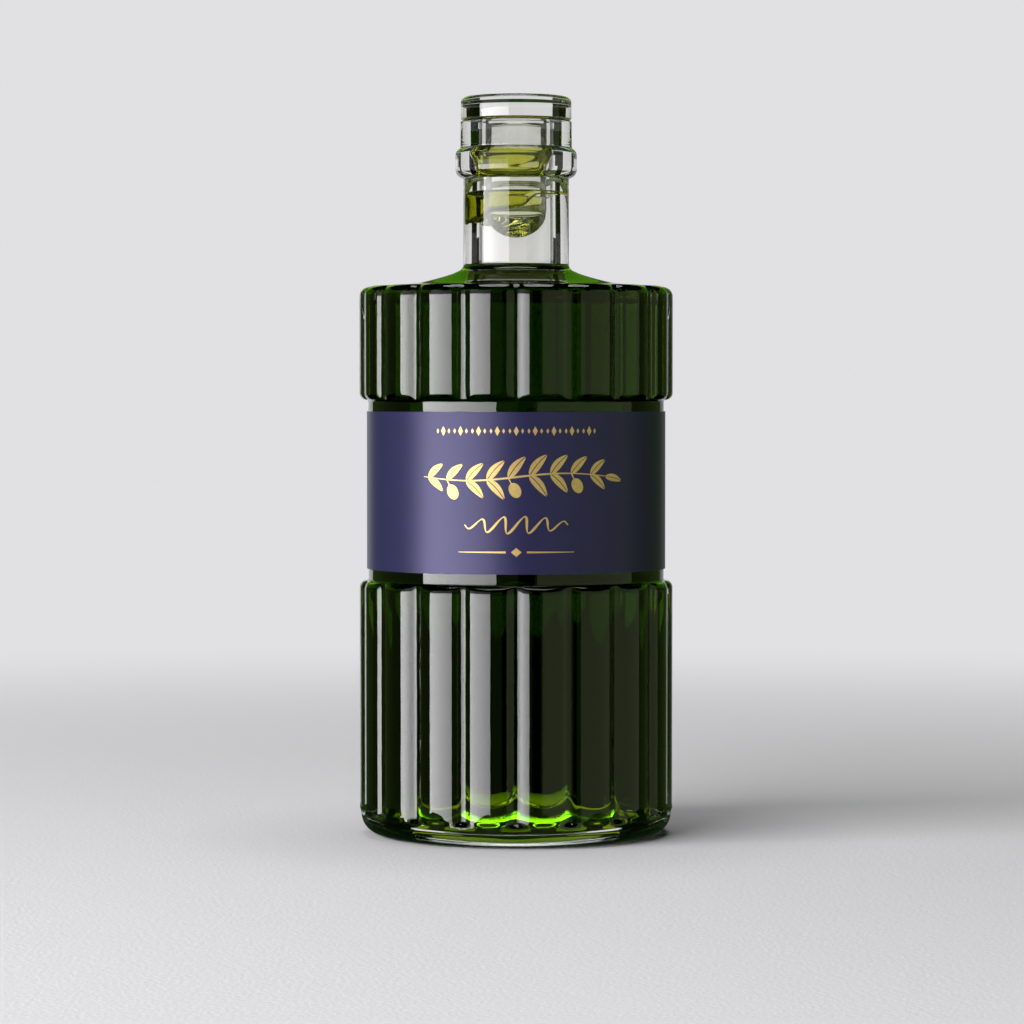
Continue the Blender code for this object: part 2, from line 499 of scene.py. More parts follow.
class WrappingTree(RuleTree):
    """The node tree that sets copies of a flat motif on points of the label and wraps them round it."""

    name = "Set_and_wrapped"
    source = "Places"
    kinds = {"Motif": "Object", "Wrap Radius": "Float", "Finish": "Material"}

    def _build(self) -> None:
        """Sets the motif on every point by its turn and size, then bends the flat print round the label."""
        tree = self.tree
        given = add_node(tree, "NodeGroupInput").outputs
        motif = add_node(tree, "GeometryNodeObjectInfo", {"Object": given["Motif"]}).outputs["Geometry"]
        kind = "GeometryNodeInputNamedAttribute"
        told = {name: add_node(tree, kind,
                               {"Name": name}, data_type="FLOAT").outputs[0] for name in ("turn", "size")}
        rotation = add_node(tree, "ShaderNodeCombineXYZ", {2: told["turn"]}).outputs[0]
        scale = add_node(tree, "ShaderNodeCombineXYZ", {0: told["size"], 1: told["size"], 2: 1.0}).outputs[0]
        copies = add_node(tree, "GeometryNodeInstanceOnPoints", {"Points": given["Places"], "Instance": motif,
                                                                 "Rotation": rotation, "Scale": scale})
        flat = add_node(tree, "GeometryNodeRealizeInstances", {"Geometry": copies.outputs[0]})
        place = add_node(tree, "GeometryNodeInputPosition").outputs[0]
        split = add_node(tree, "ShaderNodeSeparateXYZ", {0: place}).outputs
        angle = add_node(tree, "ShaderNodeMath",
                         {0: split["X"], 1: given["Wrap Radius"]}, operation="DIVIDE").outputs[0]
        out = add_node(tree, "ShaderNodeMath",
                       {0: split["Z"], 1: given["Wrap Radius"]}, operation="ADD").outputs[0]
        front = add_node(tree, "ShaderNodeMath", {0: out, 1: -1.0}, operation="MULTIPLY").outputs[0]
        upright = add_node(tree, "ShaderNodeCombineXYZ", {1: front, 2: split["Y"]}).outputs[0]
        point = add_node(tree, "ShaderNodeVectorRotate",
                         {"Vector": upright, "Angle": angle}, rotation_type="Z_AXIS")
        bent = add_node(tree, "GeometryNodeSetPosition",
                        {"Geometry": flat.outputs[0], "Position": point.outputs[0]})
        whole = add_node(tree, "GeometryNodeRealizeInstances", {"Geometry": bent.outputs[0]})
        finished = add_node(tree, "GeometryNodeSetMaterial",
                            {"Geometry": whole.outputs[0], "Material": given["Finish"]})
        add_node(tree, "NodeGroupOutput", {0: finished.outputs[0]})

    def wrap(self, motif: bpy.types.Mesh, places: list[Place], radius: float,
             finish: bpy.types.Material) -> bpy.types.Mesh:
        """Wraps one motif.

        Args:
            motif: The flat motif, with its front up.
            places: Where it goes.
            radius: Distance of the motif's back from the bottle's axis.
            finish: Its material.

        Returns:
            All its copies as one plain mesh.
        """
        shape = link_object(motif.name, motif)
        points = [(place.along, place.height, 0.0) for place in places]
        told = {key: [getattr(place, key) for place in places] for key in ("turn", "size")}
        given = {"Motif": shape, "Wrap Radius": radius, "Finish": finish}
        mesh = self.run(motif.name + "_set", points, told, given)
        bpy.data.objects.remove(shape)
        return mesh


# Finishes


@dataclass(frozen=True)
class ClearGlass:
    """Flint glass, pressed in a mould and fire-polished: colourless, with faint long waves in its surface."""

    name: str
    tint: str = "F6F6F3"
    ior: float = 1.52
    wave_size: float = 0.012
    wave_depth: float = 0.000006
    haze: str = "E2E6DC"
    haze_density: float = 1.5
    stipple: float = 0.85
    stipple_radius: float = 0.0175
    stipple_top: float = 0.0046

    def build(self) -> bpy.types.Material:
        """Makes the material.

        Where the mark is 1 the glass is wetted by oil, so its surface neither bends nor reflects. The dome
        under the base is stippled, as the mould leaves it, and scatters the light that comes up through it.

        Returns:
            The material.
        """
        material = blank_material(self.name)
        tree = material.node_tree
        place = add_node(tree, "ShaderNodeTexCoord").outputs["Object"]
        waves = add_node(tree, "ShaderNodeTexNoise",
                         {"Vector": place, "Scale": 1 / self.wave_size, "Detail": 1.0})
        bump = add_node(tree, "ShaderNodeBump", {"Height": waves.outputs["Fac"], "Distance": self.wave_depth,
                                                 "Strength": 1.0})
        cloud = add_node(tree, "ShaderNodeTexNoise", {"Vector": place, "Scale": 1 / 0.02, "Detail": 2.0})
        polish = add_node(tree, "ShaderNodeMapRange",
                          {"Value": cloud.outputs["Fac"], "To Min": 0.0, "To Max": 0.004})
        wet = add_node(tree, "ShaderNodeAttribute", attribute_name="mark").outputs["Fac"]
        bending = add_node(tree, "ShaderNodeMapRange", {"Value": wet, "To Min": self.ior, "To Max": 1.0})
        level = add_node(tree, "ShaderNodeVectorMath",
                         {0: place, 1: (1.0, 1.0, 0.0)}, operation="MULTIPLY").outputs[0]
        away = add_node(tree, "ShaderNodeVectorMath", {0: level}, operation="LENGTH").outputs["Value"]
        height = add_node(tree, "ShaderNodeSeparateXYZ", {0: place}).outputs["Z"]
        inward = add_node(tree, "ShaderNodeMath",
                          {0: away, 1: self.stipple_radius}, operation="LESS_THAN").outputs[0]
        low = add_node(tree, "ShaderNodeMath",
                       {0: height, 1: self.stipple_top}, operation="LESS_THAN").outputs[0]
        dome = add_node(tree, "ShaderNodeMath", {0: inward, 1: low}, operation="MULTIPLY").outputs[0]
        rough = add_node(tree, "ShaderNodeMapRange",
                         {"Value": dome, "To Min": polish.outputs[0], "To Max": self.stipple})
        shader = add_node(tree, "ShaderNodeBsdfPrincipled",
                          {"Base Color": srgb(self.tint), "Transmission Weight": 1.0, "Roughness": rough.outputs[0],
                           "IOR": bending.outputs[0], "Normal": bump.outputs[0]})
        inside = add_node(tree, "ShaderNodeVolumeAbsorption",
                          {"Color": srgb(self.haze), "Density": self.haze_density})
        add_node(tree, "ShaderNodeOutputMaterial",
                 {"Surface": shader.outputs[0], "Volume": inside.outputs[0]})
        return material


@dataclass(frozen=True)
class OliveOil:
    """Early-harvest olive oil: clear, yellow-green where thin and nearly black-green through the whole body."""

    name: str
    ior: float = 1.47
    glass_ior: float = 1.52
    absorbs: tuple[float, float, float] = (90.0, 62.0, 330.0)

    def build(self) -> bpy.types.Material:
        """Makes the material. Where the mark is 1 the oil meets air, and elsewhere it meets the glass.

        Returns:
            The material.
        """
        material = blank_material(self.name)
        tree = material.node_tree
        open_air = add_node(tree, "ShaderNodeAttribute", attribute_name="mark").outputs["Fac"]
        bending = add_node(tree, "ShaderNodeMapRange", {"Value": open_air, "To Min": self.ior / self.glass_ior,
                                                        "To Max": self.ior})
        shader = add_node(tree, "ShaderNodeBsdfPrincipled", {"Transmission Weight": 1.0, "Roughness": 0.0,
                                                             "Base Color": (1.0, 1.0, 1.0, 1.0),
                                                             "IOR": bending.outputs[0]})
        density = max(self.absorbs)
        let_through = [1 - share / density for share in self.absorbs]
        inside = add_node(tree, "ShaderNodeVolumeAbsorption",
                          {"Color": (*let_through, 1.0), "Density": density})
        add_node(tree, "ShaderNodeOutputMaterial",
                 {"Surface": shader.outputs[0], "Volume": inside.outputs[0]})
        return material


@dataclass(frozen=True)
class SatinPaper:
    """Label paper printed solid indigo under a satin top coat: a soft sheen, tinted with a painted violet reflection,
    and a faint tooth of fibres.
    """

    name: str
    colour: str = "242244"
    deep: str = "1F1E3A"
    # painted reflection: this violet tint on the sheen stands for a violet backdrop mirrored in the paper's top coat
    painted_violet_reflection: str = "CBC5F0"
    fibre: float = 0.0006
    tooth: float = 0.00001

    def build(self) -> bpy.types.Material:
        """Makes the material.

        Returns:
            The material.
        """
        material = blank_material(self.name)
        tree = material.node_tree
        place = add_node(tree, "ShaderNodeTexCoord").outputs["Object"]
        fibres = add_node(tree, "ShaderNodeTexNoise", {"Vector": place, "Scale": 1 / self.fibre, "Detail": 4.0,
                                                       "Roughness": 0.65})
        patches = add_node(tree, "ShaderNodeTexNoise",
                           {"Vector": place, "Scale": 1 / (12 * self.fibre), "Detail": 3.0})
        ink = add_node(tree, "ShaderNodeMix", {"Factor": patches.outputs["Fac"], "A": srgb(self.colour),
                                               "B": srgb(self.deep)}, data_type="RGBA")
        rough = add_node(tree, "ShaderNodeMapRange",
                         {"Value": fibres.outputs["Fac"], "To Min": 0.33, "To Max": 0.42})
        bump = add_node(tree, "ShaderNodeBump", {"Height": fibres.outputs["Fac"], "Distance": self.tooth,
                                                 "Strength": 1.0})
        # Specular Tint colours the sheen with the painted violet reflection
        shader = add_node(tree, "ShaderNodeBsdfPrincipled", {"Base Color": ink.outputs["Result"], "IOR": 1.58,
                                                             "Roughness": rough.outputs[0], "Normal": bump.outputs[0],
                                                             "Specular Tint": srgb(self.painted_violet_reflection)})
        add_node(tree, "ShaderNodeOutputMaterial", {"Surface": shader.outputs[0]})
        return material


@dataclass(frozen=True)
class GoldFoil:
    """Hot-stamped gold foil: bright metal, slightly broken up by the paper under it."""

    name: str
    colour: str = "E6CB8A"
    deep: str = "CBA45C"
    grain: float = 0.0008

    def build(self) -> bpy.types.Material:
        """Makes the material.

        Returns:
            The material.
        """
        material = blank_material(self.name)
        tree = material.node_tree
        place = add_node(tree, "ShaderNodeTexCoord").outputs["Object"]
        grain = add_node(tree, "ShaderNodeTexNoise",
                         {"Vector": place, "Scale": 1 / self.grain, "Detail": 3.0})
        metal = add_node(tree, "ShaderNodeMix", {"Factor": grain.outputs["Fac"], "A": srgb(self.colour),
                                                 "B": srgb(self.deep)}, data_type="RGBA")
        rough = add_node(tree, "ShaderNodeMapRange",
                         {"Value": grain.outputs["Fac"], "To Min": 0.35, "To Max": 0.55})
        shader = add_node(tree, "ShaderNodeBsdfPrincipled", {"Base Color": metal.outputs["Result"], "Metallic": 0.7,
                                                             "Roughness": rough.outputs[0]})
        add_node(tree, "ShaderNodeOutputMaterial", {"Surface": shader.outputs[0]})
        return material


# The glass, the oil and the stopper


@dataclass
class GlassBottle:
    """The bottle's glass: reeded bands, the label's recess, shoulder, neck, bead, collar, bore and base."""

    turning: TurningTree
    finish: bpy.types.Material
    sizes: BottleSizes = field(default_factory=BottleSizes)
    reeds: ReedRule = field(default_factory=ReedRule)
    films: tuple["ClingingOil", ...] = ()
    support: float = 0.0003
    bore_step: float = 0.0003

    def base(self) -> Profile:
        """The punt's dome, the standing ring, the smooth heel and the reeds' foot.

        Returns:
            The rings, from the middle outwards.
        """
        s = self.sizes
        heel = s.heel_radius - s.heel_round
        rings = bend((0.0, 0.0), (s.punt_radius, s.punt_depth), 90, 4, 14)
        rings += [ProfilePoint(s.punt_radius + 0.0002, 0.0), ProfilePoint(heel - self.support, 0.0)]
        rings += bend((heel, s.heel_round), (s.heel_round, s.heel_round), -90, 0, 12)
        steps = 8
        for i in range(1, steps):
            share = i / steps
            blend = share * share * (3 - 2 * share)
            radius = s.heel_radius + (s.body_radius - s.heel_radius) * blend
            rings.append(ProfilePoint(radius, s.heel_round + s.reed_fade * share, blend))
        return rings

    def band_rim(self, height: float, inwards: int) -> Profile:
        """A band's rim, from the reeds round to the recess and out along it.

        Args:
            height: Height of the band's end.
            inwards: 1 for a rim at the band's top, -1 for one at its bottom.

        Returns:
            The rings, from the band to the recess.
        """
        s = self.sizes
        inner = s.recess_radius + s.recess_fillet
        rings = []
        rounding = (s.body_radius - inner, inwards * s.band_round)
        for ring in bend((inner, height - rounding[1]), rounding, 0, 90, 10):
            share = (ring.radius - inner) / (s.body_radius - inner)
            rings.append(ring._replace(reed=share))
        fillet = inwards * s.recess_fillet
        rings += bend((inner, height + fillet), (s.recess_fillet, -fillet), 90, 180, 4)[1:]
        return rings

    def body(self) -> Profile:
        """The lower band, the recess and the upper band.

        Returns:
            The rings, from the heel to the shoulder's rim.
        """
        s = self.sizes
        step = self.support
        rings = [ProfilePoint(s.body_radius, s.heel_round + s.reed_fade, 1.0),
                 ProfilePoint(s.body_radius, s.lower_band_top - s.band_round - step, 1.0)]
        rings += self.band_rim(s.lower_band_top, 1)
        rings += [ProfilePoint(s.recess_radius, s.lower_band_top + s.recess_fillet + step),
                  ProfilePoint(s.recess_radius, s.upper_band_bottom - s.recess_fillet - step)]
        rings += reversed(self.band_rim(s.upper_band_bottom, -1))
        rings += [ProfilePoint(s.body_radius, s.upper_band_bottom + s.band_round + step, 1.0),
                  ProfilePoint(s.body_radius, s.upper_band_top - s.shoulder_round - step, 1.0)]
        rings += bend((s.body_radius - s.shoulder_round, s.upper_band_top - s.shoulder_round),
                      (s.shoulder_round, s.shoulder_round), 0, 86, 12, reeds=(1.0, 1.0))
        return rings

    def neck(self) -> Profile:
        """The shoulder, the neck, the bead, the collar and the lip.

        Returns:
            The rings, upwards.
        """
        s = self.sizes
        foot = bend((s.neck_radius + s.foot_fillet, s.foot_height), (s.foot_fillet, s.foot_fillet),
                    180 + s.foot_turn, 180, 10)
        rings = []
        steps = 14
        for i in range(steps):
            share = i / steps
            radius = s.shoulder_rim + (foot[0].radius - s.shoulder_rim) * share
            climb = ((s.shoulder_rim - radius) / (s.shoulder_rim - s.neck_radius)) ** s.shoulder_ease
            rings.append(ProfilePoint(radius, s.upper_band_top + s.shoulder_rise * climb))
        rings += foot
        bead = s.bead_radius - s.bead_round
        rings += [ProfilePoint(s.neck_radius, s.foot_height + self.support),
                  ProfilePoint(s.neck_radius, s.bead_bottom - self.support),
                  ProfilePoint(s.neck_radius + 0.0001, s.bead_bottom)]
        rings += bend((bead, s.bead_bottom + s.bead_round), (s.bead_round, s.bead_round), -s.bead_turn, 0, 8)
        rings += bend((bead, s.bead_top - s.bead_round), (s.bead_round, s.bead_round), 0, s.bead_turn, 8)
        rings += [ProfilePoint(s.collar_radius + 0.0001, s.bead_top),
                  ProfilePoint(s.collar_radius, s.bead_top + self.support),
                  ProfilePoint(s.collar_radius, s.lip - s.lip_round - self.support)]
        lip, lip_rounding = s.lip - s.lip_round, (s.lip_round, s.lip_round)
        rings += bend((s.collar_radius - s.lip_round, lip), lip_rounding, 0, 90, 5)
        rings += bend((s.bore_radius + s.lip_round, lip), lip_rounding, 90, 180, 5)
        return rings

    def hollow(self) -> Profile:
        """The inside of the glass, marked as wetted below the oil's edge.

        Returns:
            The rings, downwards.
        """
        s = self.sizes
        wet_from = s.oil_level + s.meniscus
        flare = (s.bore_radius + s.flare_fillet, s.ceiling + s.flare_fillet)
        top = s.lip - s.lip_round - self.support
        steps = round((top - wet_from) / self.bore_step)
        drop = (top - wet_from - 0.00002) / steps
        rings = [ProfilePoint(s.bore_radius, top - drop * i) for i in range(steps + 1)]
        wet = [ProfilePoint(s.bore_radius, wet_from)]
        wet += bend(flare, (s.flare_fillet, s.flare_fillet), 180, 270 - s.ceiling_tilt, 10)
        corner = (s.cavity_radius - s.cavity_shoulder, s.ceiling - s.ceiling_drop - s.cavity_shoulder)
        wet += bend(corner, (s.cavity_shoulder, s.cavity_shoulder), 90 - s.ceiling_tilt, 0, 9)
        heel = (s.cavity_radius - s.cavity_heel, s.floor_rim + s.cavity_heel)
        wet += [ProfilePoint(s.cavity_radius, corner[1] - self.support),
                ProfilePoint(s.cavity_radius, heel[1] + self.support)]
        wet += bend(heel, (s.cavity_heel, s.cavity_heel), 0, s.floor_tilt - 90, 9)
        steps = 8
        for i in range(1, steps + 1):
            share = 1 - i / steps
            wet.append(ProfilePoint(heel[0] * share, s.floor_rim + s.floor_rise * (1 - share ** 2)))
        return rings + [ring._replace(mark=1.0) for ring in wet]

    def build(self) -> bpy.types.Object:
        """Makes the whole glass as one closed mesh.

        Returns:
            The glass, which stands for the CAD node.
        """
        profile = self.base() + self.body() + self.neck() + self.hollow()
        piece = self.turning.turn("clear_glass_body", profile, self.finish, self.reeds)
        on_bore = (self.sizes.bore_radius - 0.00001, self.sizes.bore_radius + 0.00001)
        marks = piece.data.attributes["mark"].data
        for vertex in piece.data.vertices:
            x, y, z = vertex.co
            direction = degrees(atan2(y, x))
            if on_bore[0] < hypot(x, y) < on_bore[1] and any(film.covers(direction, z) for film in self.films):
                marks[vertex.index].value = 1.0
        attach(piece, "root")
        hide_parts("glass_bottle")
        return piece


@dataclass
class OilFilling:
    """The oil, which reaches just into the wall so that it wets the glass, with a meniscus at the neck."""

    turning: TurningTree
    finish: bpy.types.Material
    sizes: BottleSizes = field(default_factory=BottleSizes)

    def build(self) -> bpy.types.Object:
        """Makes the oil as one closed mesh.

        Returns:
            The oil, which stands for the CAD node.
        """
        s = self.sizes
        over = s.wall_overlap
        edge = s.oil_level + s.meniscus
        rings = []
        steps = 14
        for i in range(steps + 1):
            share = i / steps
            climb = s.meniscus * max(0.0, (share - 0.6) / 0.4) ** 2
            rings.append(ProfilePoint(s.bore_radius * share, s.oil_level + climb, mark=1.0))
        flare = (s.bore_radius + s.flare_fillet, s.ceiling + s.flare_fillet)
        flare_round = s.flare_fillet - over
        rings += [ProfilePoint(s.bore_radius + over, edge)]
        rings += bend(flare, (flare_round, flare_round), 180, 270 - s.ceiling_tilt, 10)
        corner = (s.cavity_radius - s.cavity_shoulder, s.ceiling - s.ceiling_drop - s.cavity_shoulder)
        rings += bend(corner, (s.cavity_shoulder + over,) * 2, 90 - s.ceiling_tilt, 0, 9)
        heel = (s.cavity_radius - s.cavity_heel, s.floor_rim + s.cavity_heel)
        rings += bend(heel, (s.cavity_heel + over,) * 2, 0, s.floor_tilt - 90, 9)
        steps = 8
        for i in range(1, steps + 1):
            share = 1 - i / steps
            rings.append(ProfilePoint(heel[0] * share, s.floor_rim - over + s.floor_rise * (1 - share ** 2)))
        piece = self.turning.turn("oil_filling", rings, self.finish, PlainRound())
        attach(piece, "root")
        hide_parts("olive_oil")
        return piece


@dataclass
class GlassStopper:
    """The stopper: a flat-topped head on the lip and a round-ended plug in the bore."""

    turning: TurningTree
    finish: bpy.types.Material
    head_radius: float = 0.0141
    head_bottom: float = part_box("glass_bottle")[1].z + 0.0001
    top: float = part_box("stopper")[1].z
    top_round: float = 0.0016
    edge_round: float = 0.0006
    plug_radius: float = 0.0078
    plug_end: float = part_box("stopper")[0].z
    plug_end_height: float = 0.0066
    wet_below: float = -12.0

    def build(self) -> bpy.types.Object:
        """Makes the stopper as one closed mesh.

        Returns:
            The stopper, which stands for the CAD node.
        """
        flat, rim = self.head_radius - self.top_round, self.top - self.top_round
        rings = [ProfilePoint(0.0, self.top), ProfilePoint(flat - 0.0003, self.top)]
        rings += bend((flat, rim), (self.top_round,) * 2, 90, 0, 9)
        rings += [ProfilePoint(self.head_radius, self.top - self.top_round - 0.0003)]
        rings += bend((self.head_radius - self.edge_round, self.head_bottom + self.edge_round),
                      (self.edge_round,) * 2, 0, -90, 5)
        rings += bend((self.plug_radius + 0.0004, self.head_bottom - 0.0004), (0.0004, 0.0004), 90, 180, 4)
        start = self.plug_end + self.plug_end_height
        rings += [ProfilePoint(self.plug_radius, start + 0.0003)]
        rings += bend((0.0, start), (self.plug_radius, self.plug_end_height), 0, self.wet_below, 3)
        rings += bend((0.0, start), (self.plug_radius, self.plug_end_height), self.wet_below - 0.5, -90, 14,
                      mark=1.0)
        piece = self.turning.turn("glass_stopper", rings, self.finish, PlainRound())
        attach(piece, "root")
        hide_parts("stopper")
        return piece


# The oil that clings in the neck


@dataclass(frozen=True)
class ClingingOil:
    """Oil held between the plug and the bore: a band of film round the bore's wall, lower on one side.

    Its lower edge is given as pairs of a direction, in degrees from +X towards +Y, and a height.
    """

    name: str
    top: float
    lower_edge: tuple[tuple[float, float], ...]
    depth: float
    bore_radius: float = BottleSizes.bore_radius
    overlap: float = BottleSizes.wall_overlap
    steps: int = 144
    segments: int = 16

    def bottom(self, direction: float) -> float:
        """Finds the lower edge in one direction, by an even blend from pair to pair.

        Args:
            direction: Degrees from +X towards +Y.

        Returns:
            The edge's height.
        """
        edge = sorted(self.lower_edge)
        edge = [(edge[-1][0] - 360, edge[-1][1]), *edge, (edge[0][0] + 360, edge[0][1])]
        turn = direction % 360
        for (start, low), (stop, high) in zip(edge, edge[1:]):
            if start <= turn <= stop:
                share = (turn - start) / (stop - start)
                return low + (high - low) * share * share * (3 - 2 * share)
        return edge[0][1]

    def covers(self, direction: float, height: float) -> bool:
        """Whether the film wets the bore there."""
        return self.bottom(direction) < height < self.top

    def section(self, direction: float) -> list[tuple[float, float, float]]:
        """The film's section in one direction: straight along the glass and bulging into the bore.

        Args:
            direction: Degrees from +X towards +Y.

        Returns:
            The section's points, in order round it.
        """
        low = self.bottom(direction)
        middle, half = (self.top + low) / 2, (self.top - low) / 2
        depth = min(self.depth, 0.9 * half)
        outer = self.bore_radius + self.overlap
        rows = [(outer, low), (outer, middle), (outer, self.top)]
        for i in range(self.segments + 1):
            rise = cos(pi * i / self.segments)
            rows.append((self.bore_radius - depth * (1 - rise ** 4) ** 0.5, middle + half * rise))
        turn = radians(direction)
        return [(radius * cos(turn), radius * sin(turn), height) for radius, height in rows]

    def build(self, finish: bpy.types.Material) -> bpy.types.Object:
        """Makes the film as one closed ring, marked where it meets the air.

        Args:
            finish: The oil.

        Returns:
            The film.
        """
        mesh = loft(self.name, [self.section(360 * i / self.steps) for i in range(self.steps)], ring=True)
        open_air = [float(hypot(v.co.x, v.co.y) < self.bore_radius - 0.00001) for v in mesh.vertices]
        mesh.attributes.new("mark", "FLOAT", "POINT").data.foreach_set("value", open_air)
        mesh.materials.append(finish)
        mesh.shade_smooth()
        piece = link_object(self.name, mesh)
        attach(piece, "root")
        return piece


@dataclass
class StopperOil:
    """The oil on the stopper: a drop that wets the plug's round end, and a film under its head."""

    turning: TurningTree
    finish: bpy.types.Material
    stopper: GlassStopper
    drop_depth: float = 0.0010
    overlap: float = 0.0001
    film_rim: float = 0.0138
    film_bore: float = 0.0100
    film_sink: float = 0.00012

    def drop(self) -> bpy.types.Object:
        """Makes the drop.

        Returns:
            The drop, thickest under the plug's end.
        """
        plug = self.stopper
        centre = plug.plug_end + plug.plug_end_height
        steps = 14
        rings = []
        for i in range(steps + 1):
            angle = radians(plug.wet_below + (-90 - plug.wet_below) * i / steps)
            depth = self.drop_depth * sin(pi / 2 * i / steps) ** 0.8
            rings.append(ProfilePoint((plug.plug_radius + depth) * cos(angle),
                                      centre + (plug.plug_end_height + depth) * sin(angle), mark=1.0))
        rings += bend((0.0, centre), (plug.plug_radius - self.overlap, plug.plug_end_height - self.overlap),
                      -90, plug.wet_below, steps)
        rings.append(rings[0]._replace(mark=0.0))
        return self.turning.turn("oil_drop_on_plug", rings, self.finish, PlainRound())

    def film(self) -> bpy.types.Object:
        """Makes the film between the head and the lip.

        Returns:
            The film.
        """
        low = BottleSizes.lip - self.film_sink
        high = self.stopper.head_bottom + self.film_sink
        inner, rim = (self.film_bore, low), (self.film_rim, low)
        corners = [inner, rim, (self.film_rim, high), (self.film_bore, high), inner]
        rings = [ProfilePoint(*corner, mark=float(i in (1, 2))) for i, corner in enumerate(corners)]
        return self.turning.turn("oil_film_under_head", rings, self.finish, PlainRound())

    def build(self) -> list[bpy.types.Object]:
        """Makes both pieces.

        Returns:
            The drop and the film.
        """
        pieces = [self.drop(), self.film()]
        for piece in pieces:
            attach(piece, "root")
        return pieces


PLUG_FILM_EDGE = ((0.0, 0.1630), (45.0, 0.1628), (90.0, 0.1600), (140.0, 0.1556), (180.0, 0.1554),
                  (214.0, 0.1556), (232.0, 0.1583), (276.0, 0.1594), (302.0, 0.1626),
                  (330.0, 0.1629))
BEAD_FILM_EDGE = ((0.0, 0.1730), (70.0, 0.1728), (100.0, 0.1700), (130.0, 0.1728), (195.0, 0.1728),
                  (215.0, 0.1690), (235.0, 0.1672), (270.0, 0.1669), (298.0, 0.1671),
                  (312.0, 0.1700), (325.0, 0.1729))


# The label and its print


@dataclass
class PaperLabel:
    """The label: one strip of paper wrapped round the recess and lapped over itself at the back."""

    finish: bpy.types.Material
    radius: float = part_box("label")[1].x
    bottom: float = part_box("label")[0].z
    top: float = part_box("label")[1].z
    paper: float = 0.00015
    under: float = 0.00002
    lap: float = 0.0070
    ease: float = 0.0030
    steps: int = 300

    def section(self, along: float) -> list[tuple[float, float, float]]:
        """The strip's section at a length along it.

        Args:
            along: Length from the end that lies under the lap.

        Returns:
            The section's corners, in order round it.
        """
        share = min(1.0, max(0.0, (along - self.lap) / self.ease))
        outer = self.radius - (self.paper + self.under) * (1 - share * share * (3 - 2 * share))
        turn = pi / 2 - (self.lap / 2 - along) / self.radius
        inner = outer - self.paper
        corners = [(inner, self.bottom), (outer, self.bottom), (outer, self.top), (inner, self.top)]
        return [(radius * cos(turn), radius * sin(turn), height) for radius, height in corners]

    def build(self) -> bpy.types.Object:
        """Makes the strip as one closed mesh.

        Returns:
            The label, which stands for the CAD node.
        """
        length = 2 * pi * self.radius + self.lap
        sections = [self.section(length * i / self.steps) for i in range(self.steps + 1)]
        mesh = loft("wrapped_paper_label", sections)
        mesh.materials.append(self.finish)
        mesh.shade_smooth()
        mesh.set_sharp_from_angle(angle=radians(40))
        piece = link_object(mesh.name, mesh)
        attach(piece, "root")
        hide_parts("label")
        return piece


